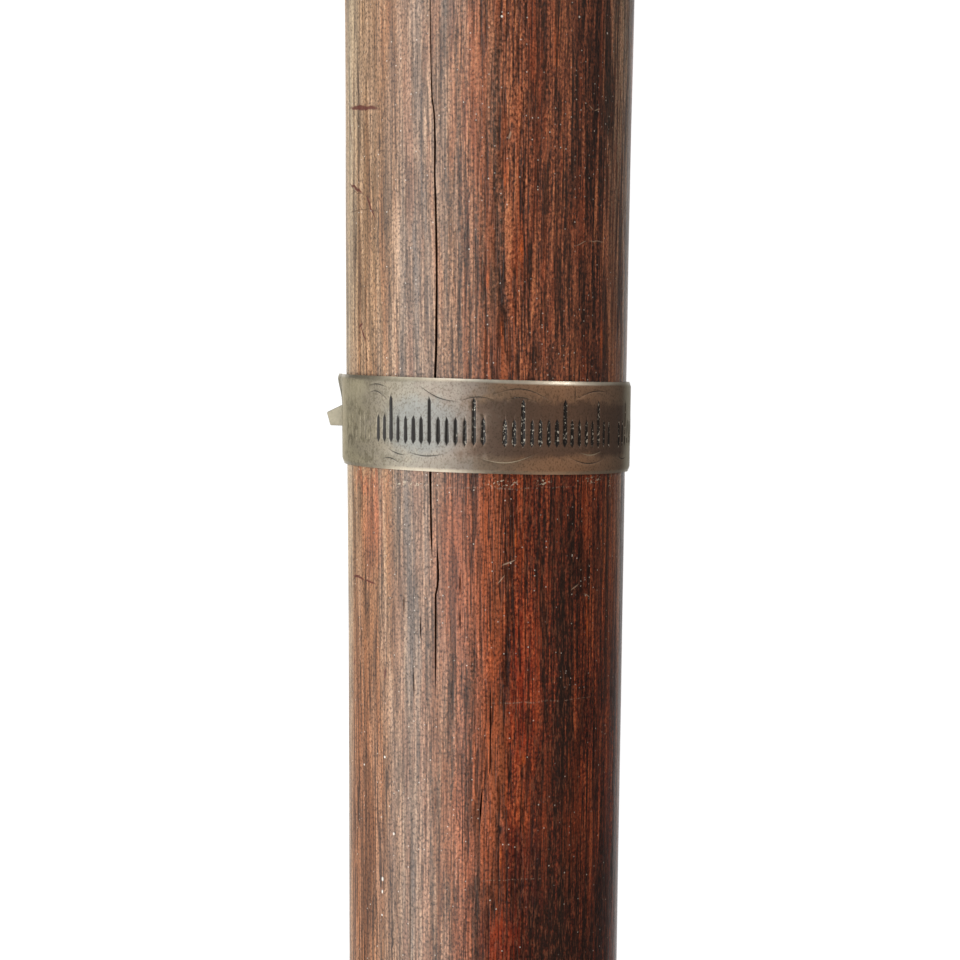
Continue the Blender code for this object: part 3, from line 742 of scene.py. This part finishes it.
def make_blank():
    """The flat strip. X runs along it from the inner end, and Y across it towards the head."""
    bm = bmesh.new()
    bmesh.ops.create_grid(bm, x_segments=STRIP_STEPS, y_segments=STRIP_ROWS, size=0.5)
    for vertex in bm.verts:
        across = STRIP_WIDTH / 2 * math.sin(vertex.co.y * math.pi)
        vertex.co = ((STRIP_LENGTH - end_inset(across)) * (vertex.co.x + 0.5), across, 0)
    return add_plate("staff_collar", bm, STRIP_THICKNESS, RIM_ROUNDING)


def make_slot():
    """The cutter for the slot in the outer end."""
    bm = bmesh.new()
    bmesh.ops.create_cube(bm, size=1)
    size = (TONGUE_THICKNESS + 2 * SLOT_CLEARANCE, TONGUE_WIDTH + 2 * SLOT_CLEARANCE, 2 * STRIP_THICKNESS)
    bmesh.ops.scale(bm, verts=bm.verts, vec=size)
    place = (TONGUE_ANGLE + 2 * math.pi - INNER_END_ANGLE) * STRIP_RADIUS
    bmesh.ops.translate(bm, verts=bm.verts, vec=(place, TONGUE_OFF_CENTRE, 0))
    return add_object("slot", bm)


def make_tongue():
    """The tongue: flat where it leaves the inner end, then bent up through a right angle."""
    low = TONGUE_OFF_CENTRE - TONGUE_WIDTH / 2
    stand = (TONGUE_ANGLE - INNER_END_ANGLE) * STRIP_RADIUS
    bm = bmesh.new()
    root = TONGUE_ROOT_ANGLE * STRIP_RADIUS
    corners = [bm.verts.new((root, low + side * TONGUE_WIDTH, 0)) for side in (0, 1)]
    edge = bm.edges.new(corners)
    run = bmesh.ops.extrude_edge_only(bm, edges=[edge])["geom"]
    ends = [item for item in run if isinstance(item, bmesh.types.BMVert)]
    for vertex in ends:
        vertex.co.x = stand + TONGUE_BEND_RADIUS
    edge = bm.edges.get(ends)
    turned = bmesh.ops.spin(
        bm, geom=[edge, *ends], cent=(stand + TONGUE_BEND_RADIUS, 0, TONGUE_BEND_RADIUS), axis=(0, 1, 0),
        angle=math.pi / 2, steps=8,
    )["geom_last"]
    edge = next(item for item in turned if isinstance(item, bmesh.types.BMEdge))
    tip = bmesh.ops.extrude_edge_only(bm, edges=[edge])["geom"]
    tip = [item for item in tip if isinstance(item, bmesh.types.BMVert)]
    tip.sort(key=lambda vertex: vertex.co.y)
    tip[0].co.z = FACE + TONGUE_REACH - TONGUE_TIP_SLANT
    tip[1].co.z = FACE + TONGUE_REACH
    tip[1].co.y = low + TONGUE_TIP_WIDTH
    bmesh.ops.recalc_face_normals(bm, faces=bm.faces)
    return add_plate("tongue", bm, TONGUE_THICKNESS, RIM_ROUNDING)


def stroke_lines():
    """The rows of upright strokes, each as a line of (round, along, half width)."""
    lines = []
    for row, (first, count) in enumerate(STROKE_ROWS):
        for number in range(count):
            tall = number % TALL_EVERY == TALL_EVERY // 2
            foot = STROKE_BASE + FOOT_DRIFT * noise.noise(Vector((number * 1.7, row * 3.1, 0.5)))
            top = foot + (TALL_STROKE if tall else SHORT_STROKE)
            lean = LEAN_DRIFT * noise.noise(Vector((number * 2.3, row * 1.9, 4.5)))
            across = first + number * STROKE_PITCH
            wide = STROKE_HALF_WIDTH * (1 + WIDTH_DRIFT * noise.noise(Vector((number * 1.3, row * 2.7, 9.5))))
            wide *= WORN_SHARE if row == WORN_ROW else 1.0
            lines.append([
                (across, foot, STROKE_POINT),
                (across + lean, foot + STROKE_TIP, wide),
                (across + lean, top - STROKE_TIP, wide * STROKE_NARROWING),
                (across + 2 * lean, top, STROKE_POINT),
            ])
    return lines


def scroll_lines():
    """The hairline scrolls, each as a line of (round, along, half width)."""
    lines = []
    for left, start, right, end, bow in SCROLLS:
        line = []
        for step in range(SCROLL_STEPS + 1):
            share = step / SCROLL_STEPS
            swell = math.sin(math.pi * share)
            across = left + (right - left) * share
            along = start + (end - start) * share + bow * swell
            line.append((across, along, HAIRLINE_HALF_WIDTH * (0.3 + 0.7 * swell)))
        lines.append(line)
    return lines


def make_cuts(lines):
    """The graver's cuts as one cutter: V-shaped lines on the flat strip's face, pointed at both ends."""
    curve = bpy.data.curves.new("cuts", "CURVE")
    curve.dimensions = "3D"
    curve.twist_mode = "Z_UP"
    curve.bevel_depth = MM
    curve.bevel_resolution = 0
    curve.use_fill_caps = True
    for line in lines:
        spline = curve.splines.new("POLY")
        spline.points.add(len(line) - 1)
        for point, (across, along, half_width) in zip(spline.points, line):
            lift = half_width * GRAVER_LIFT
            point.co = (FRONT - across * MM, along * MM, FACE + lift * MM, 1)
            point.radius = half_width
    drawn = bpy.data.objects.new("cuts", curve)
    bpy.context.scene.collection.objects.link(drawn)
    mesh = bpy.data.meshes.new_from_object(drawn.evaluated_get(bpy.context.evaluated_depsgraph_get()))
    bpy.data.objects.remove(drawn)
    bm = bmesh.new()
    bm.from_mesh(mesh)
    bmesh.ops.remove_doubles(bm, verts=bm.verts, dist=WELD_DISTANCE)
    bmesh.ops.recalc_face_normals(bm, faces=bm.faces)
    face = Matrix.Translation((0, 0, -FACE))
    bmesh.ops.scale(bm, verts=bm.verts, vec=(1, 1, GRAVER_FLATNESS), space=face)
    return add_object("cuts", bm)


def wound(place):
    """Where a place of the flat strip comes to lie when the strip is wound round the shaft."""
    angle = INNER_END_ANGLE + place.x / STRIP_RADIUS
    out = place.z + WAVE_HEIGHT * noise.noise(Vector((place.x / WAVE_LENGTH, place.y / WAVE_WIDTH, 0.3)))
    if 0 < place.z < STRIP_THICKNESS:
        out -= RIM_DROP * smooth_step((abs(place.y) - STRIP_WIDTH / 2 + RIM_ROLL) / RIM_ROLL) * place.z / FACE
    if place.x > 0:
        joggle_end = INNER_END_ANGLE + 2 * math.pi - JOGGLE_BEFORE_LAP
        out += LAYER_STEP * smooth_step((angle - joggle_end + JOGGLE_ANGLE) / JOGGLE_ANGLE)
        slot_top = TONGUE_OFF_CENTRE + TONGUE_WIDTH / 2
        round_share = (angle - OUTER_END_ANGLE + SPRING_ANGLE) / SPRING_ANGLE
        height_share = (place.y - slot_top) / (STRIP_WIDTH / 2 - slot_top)
        out += CORNER_SPRING * smooth_step(round_share) * smooth_step(height_share)
    sideways = -math.sin(angle) * (STRIP_RADIUS + out)
    y = COLLAR_Y + place.y - sideways * math.tan(STRIP_SKEW)
    return around(shaft_centre(y), -angle, body_radius(y) + STRIP_PLAY + FACE + out)


def make_collar():
    """The blank is slotted, joined to its tongue and engraved, and then wound."""
    collar = make_blank()
    cut(collar, make_slot())
    cut(collar, make_tongue(), "UNION")
    cut(collar, make_cuts(stroke_lines()))
    cut(collar, make_cuts(scroll_lines()))
    bm = bmesh.new()
    bm.from_mesh(collar.data)
    places_map = bm.loops.layers.uv.new("places")
    cut_layer = bm.verts.layers.float.new("cut_depth")
    for vertex in bm.verts:
        flat_part = abs(vertex.co.y) < STRIP_WIDTH / 2 - 1.5 * RIM_ROUNDING and 0 < vertex.co.z < FACE
        vertex[cut_layer] = (FACE - vertex.co.z) / MM if flat_part else 0.0
    for face in bm.faces:
        for loop in face.loops:
            loop[places_map].uv = ((FRONT - loop.vert.co.x) / MM, loop.vert.co.y / MM)
    for vertex in bm.verts:
        vertex.co = wound(vertex.co)
    bm.to_mesh(collar.data)
    bm.free()
    collar.data.shade_smooth()
    collar.data.set_sharp_from_angle(angle=COLLAR_SHARP_ANGLE)
    return collar


# Areas of the collar's tarnish and of its painted light and shade: (round, along, half width, half length)
STROKED_BAND = (0.0, 0.8, 60.0, 3.5)
RUBBED_BAND = (-7.3, 0.8, 6.3, 4.0)
PALE_PATCH = (-18.5, 3.4, 5.5, 2.2)
DULL_PATCH = (-2.0, -4.4, 7.0, 1.8)
LEFT_REFLECTION = (-22.3, 0.0, 2.8, 9.0)
CORNER_SHADE = (-28.0, 3.0, 4.4, 4.2)
DULL_RIM = (-13.0, 4.9, 9.5, 0.6)
RIM_HIGHLIGHT = (8.0, 4.95, 14.0, 0.45)
BARE_SCROLLS = ((2.3, -3.4, 4.2, 1.0), (12.3, -2.7, 2.2, 0.45))


def tarnished_silver():
    """Old silver, hand rolled and never polished: a grey satin on the left that turns brown to the right."""
    material = bpy.data.materials.new("tarnished silver")
    material.use_nodes = True
    tree = material.node_tree
    shader = tree.nodes["Principled BSDF"]
    places = add(tree, "UVMap", uv_map="places")
    position = add(tree, "TexCoord", output="Object")
    cloud = grain(tree, position, 4.5, 2.6, detail=5.0)
    mottle = grain(tree, position, 0.6, 1.0, detail=4.0, shift=5.0)
    grit = grain(tree, position, 0.20, 0.24, detail=3.0, shift=9.0)

    # The warped place round the shaft gives the tarnish its ragged zones: olive, then grey, then brown
    across = add(tree, "SeparateXYZ", {0: places}, output="X")
    drift = add(tree, "Math", {0: cloud, 1: 10.0, 2: across}, operation="MULTIPLY_ADD")
    drift = add(tree, "Math", {0: mottle, 1: 5.0, 2: drift}, operation="MULTIPLY_ADD")
    zone = add(tree, "MapRange", {"Value": drift, 1: -12.5, 2: 27.5})
    colour = add(
        tree, "ValToRGB", {0: zone},
        stops=((0.0, "#aaa084"), (0.15, "#8e8574"), (0.30, "#8c867a"), (0.42, "#91857a"), (0.52, "#8a735e"),
               (0.68, "#a58468"), (0.85, "#9f836c"), (1.0, "#8b7966")),
    )

    # Along the strokes the tarnish was rubbed off on the left, and grime has stayed on the right
    ragged = add(tree, "Math", {0: mottle, 1: 1.6, 2: -0.8}, operation="MULTIPLY_ADD")
    ragged = add(tree, "Math", {0: cloud, 1: 2.0, 2: ragged}, operation="MULTIPLY_ADD")
    ragged = add(tree, "VectorMath", {0: ragged, 1: (0, 1, 0), 2: places}, operation="MULTIPLY_ADD")
    strokes = mark(tree, ragged, *STROKED_BAND, soft=0.3)
    rubbed = mark(tree, ragged, *RUBBED_BAND, soft=0.5)
    grimy = fade(tree, drift, 3.5, 9.0)
    grimy = add(tree, "Math", {0: grimy, 1: strokes}, operation="MULTIPLY")
    colour = stain(tree, colour, rubbed, 0.75, "#7f817e")
    colour = stain(tree, colour, grimy, 0.8, "#66544a")
    olive = fade(tree, mottle, 0.50, 0.62)
    dull_end = add(tree, "MapRange", {"Value": across, 1: -8.0, 2: -16.0})
    olive = add(tree, "Math", {0: olive, 1: dull_end}, operation="MULTIPLY")
    colour = stain(tree, colour, olive, 0.55, "#5e5740")
    colour = stain(tree, colour, fade(tree, grit, 0.48, 0.68), 0.48, "#4c4234")
    colour = stain(tree, colour, mark(tree, places, *PALE_PATCH, soft=0.8), 0.35, "#cfc4a6")
    colour = stain(tree, colour, mark(tree, places, *DULL_PATCH, soft=0.8), 0.40, "#6e675c")
    inner_end = add(tree, "MapRange", {"Value": across, 1: 55.0, 2: 66.0})
    colour = stain(tree, colour, inner_end, 0.65, "#5f5b4d")

    # The turned-away sides are painted lighter as reflections of the bright surroundings, and the sprung
    # corner behind the left one is painted dark as shade
    colour = stain(tree, colour, mark(tree, places, *LEFT_REFLECTION, soft=0.8), 0.50, "#cdbf9e")
    right_reflection = fade(tree, across, 18.2, 21.5)
    fading = add(tree, "MapRange", {"Value": across, 1: 22.0, 2: 45.0, 3: 1.0, 4: 0.3})
    right_reflection = add(tree, "Math", {0: right_reflection, 1: fading}, operation="MULTIPLY")
    colour = stain(tree, colour, right_reflection, 0.85, "#cbc8b2")
    colour = stain(tree, colour, mark(tree, ragged, *CORNER_SHADE, soft=0.9), 0.75, "#45422f")

    # Its rims are rubbed bright by the hand, and a painted highlight runs along the right part of the upper
    # rim
    from_middle = add(tree, "SeparateXYZ", {0: places}, output="Y")
    from_middle = add(tree, "Math", {0: from_middle}, operation="ABSOLUTE")
    rim = fade(tree, from_middle, 4.50, 4.85)
    colour = stain(tree, colour, rim, 0.45, "#b7ab96")
    colour = stain(tree, colour, mark(tree, places, *DULL_RIM), 0.60, "#6c6757")
    colour = stain(tree, colour, mark(tree, places, *RIM_HIGHLIGHT), 0.80, "#ece5d2")

    # Grime fills the cuts. Pale flecks painted in those on the right stand in for glints, and two scrolls are
    # bare.
    in_cut = add(tree, "Attribute", attribute_name="cut_depth", output="Fac")
    in_cut = fade(tree, in_cut, 0.0, 0.045)
    colour = stain(tree, colour, in_cut, 1.0, "#1a1612")
    bare = add(tree, "Math", {0: marks(tree, places, BARE_SCROLLS), 1: in_cut}, operation="MULTIPLY")
    colour = stain(tree, colour, bare, 0.85, "#c2b296")
    glints = grain(tree, position, 0.20, 0.32, detail=2.0, shift=30.0)
    glints = add(tree, "MapRange", {"Value": glints, 1: 0.58, 2: 0.64})
    glints = add(tree, "Math", {0: glints, 1: in_cut}, operation="MULTIPLY")
    glints = add(tree, "Math", {0: glints, 1: grimy}, operation="MULTIPLY")
    colour = stain(tree, colour, glints, 0.80, "#c9c2b2")
    metal = add(tree, "MapRange", {"Value": in_cut, 3: 0.85, 4: 0.3})
    roughness = add(tree, "MapRange", {"Value": mottle, 1: 0.3, 2: 0.7, 3: 0.48, 4: 0.60})
    roughness = add(tree, "Math", {0: rim, 1: -0.16, 2: roughness}, operation="MULTIPLY_ADD")
    height = add(tree, "Math", {0: grit, 1: 0.5, 2: mottle}, operation="MULTIPLY_ADD")
    bump = add(tree, "Bump", {"Height": height, "Strength": 0.3, "Distance": 0.05 * MM})
    tree.links.new(colour, shader.inputs["Base Color"])
    tree.links.new(metal, shader.inputs["Metallic"])
    tree.links.new(roughness, shader.inputs["Roughness"])
    tree.links.new(bump, shader.inputs["Normal"])
    return material


collar = make_collar()
collar.data.materials.append(tarnished_silver())
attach(collar, "root")
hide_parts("collar")

# The camera, lights and floor
# The camera looks down on the lying staff as the photograph looks at it upright: from close by, and a little
# above the collar. A large soft light stands at the left, a weaker warm one at the right fills the dark side,
# and a small one at the right past the head lights the collar's upper rim. The floor glows white.

CAMERA_SIDE = -0.735 * MM
CAMERA_ALONG = 7.8 * MM
CAMERA_HEIGHT = 260 * MM
CAMERA_TILT = math.atan(127 / 2299)  # so many of the photograph's pixels over its focal length in pixels
CAMERA_LENS = 86.2

camera_data = bpy.data.cameras.new("camera")
camera_data.lens = CAMERA_LENS
camera_data.sensor_width = 36.0
camera = bpy.data.objects.new("camera", camera_data)
camera.location = (CAMERA_SIDE, COLLAR_Y + CAMERA_ALONG, shaft_centre(COLLAR_Y).z + CAMERA_HEIGHT)
camera.rotation_euler = (-CAMERA_TILT, 0, 0)
bpy.context.scene.collection.objects.link(camera)
bpy.context.scene.camera = camera


def add_soft_light(name, place, aim, length, height, power, colour="#ffffff"):
    """A rectangular soft light. Its length lies level, and its height slopes towards what it is aimed at."""
    data = bpy.data.lights.new(name, "AREA")
    data.shape = "RECTANGLE"
    data.size = length
    data.size_y = height
    data.energy = power
    data.color = linear(colour)[:3]
    light = bpy.data.objects.new(name, data)
    light.location = place
    light.rotation_euler = (Vector(aim) - Vector(place)).to_track_quat("-Z", "Y").to_euler()
    bpy.context.scene.collection.objects.link(light)


add_soft_light("left light", (-0.71, 0, 0.554), (0, 0, 0), length=2.6, height=1.3, power=30)
add_soft_light("right fill", (1.06, 0, 0.75), (0, 0, 0), length=2.4, height=1.1, power=4.2, colour="#ffdcc4")
add_soft_light(
    "head light", (1.0, COLLAR_Y + 0.72, 0.42), (0, COLLAR_Y, 0), length=0.4, height=0.4, power=2.4,
)

world = bpy.data.worlds.new("studio")
world.use_nodes = True
bpy.context.scene.world = world
seen = add(world.node_tree, "LightPath", output="Is Camera Ray")
light_share = add(world.node_tree, "MapRange", {"Value": seen, 3: 0.10, 4: 1.0})
background = world.node_tree.nodes["Background"]
background.inputs["Color"].default_value = (1, 1, 1, 1)
world.node_tree.links.new(light_share, background.inputs["Strength"])

bm = bmesh.new()
bmesh.ops.create_grid(bm, x_segments=1, y_segments=1, size=6.0)
floor = add_object("floor", bm)
floor_material = bpy.data.materials.new("white floor lit from below")
floor_material.use_nodes = True
floor_tree = floor_material.node_tree
floor_shader = floor_tree.nodes["Principled BSDF"]
floor_shader.inputs["Base Color"].default_value = linear("#595959")
floor_shader.inputs["Roughness"].default_value = 0.9
floor_shader.inputs["Emission Color"].default_value = (1, 1, 1, 1)

# The camera sees the floor white, but only the floor close by lights the staff, and more so on the left
sideways = add(floor_tree, "SeparateXYZ", {0: add(floor_tree, "TexCoord", output="Object")}, output="X")
side_glow = add(floor_tree, "MapRange", {"Value": sideways, 1: -0.01, 2: 0.01, 3: 1.8, 4: 1.2})
sideways = add(floor_tree, "Math", {0: sideways}, operation="ABSOLUTE")
near_glow = add(floor_tree, "MapRange", {"Value": sideways, 1: 0.018, 2: 0.031, 3: side_glow, 4: 0.05})
seen = add(floor_tree, "LightPath", output="Is Camera Ray")
glow = add(floor_tree, "MapRange", {"Value": seen, 3: near_glow, 4: 1.0})
floor_tree.links.new(glow, floor_shader.inputs["Emission Strength"])
floor.data.materials.append(floor_material)

bpy.context.scene.view_settings.view_transform = "Standard"
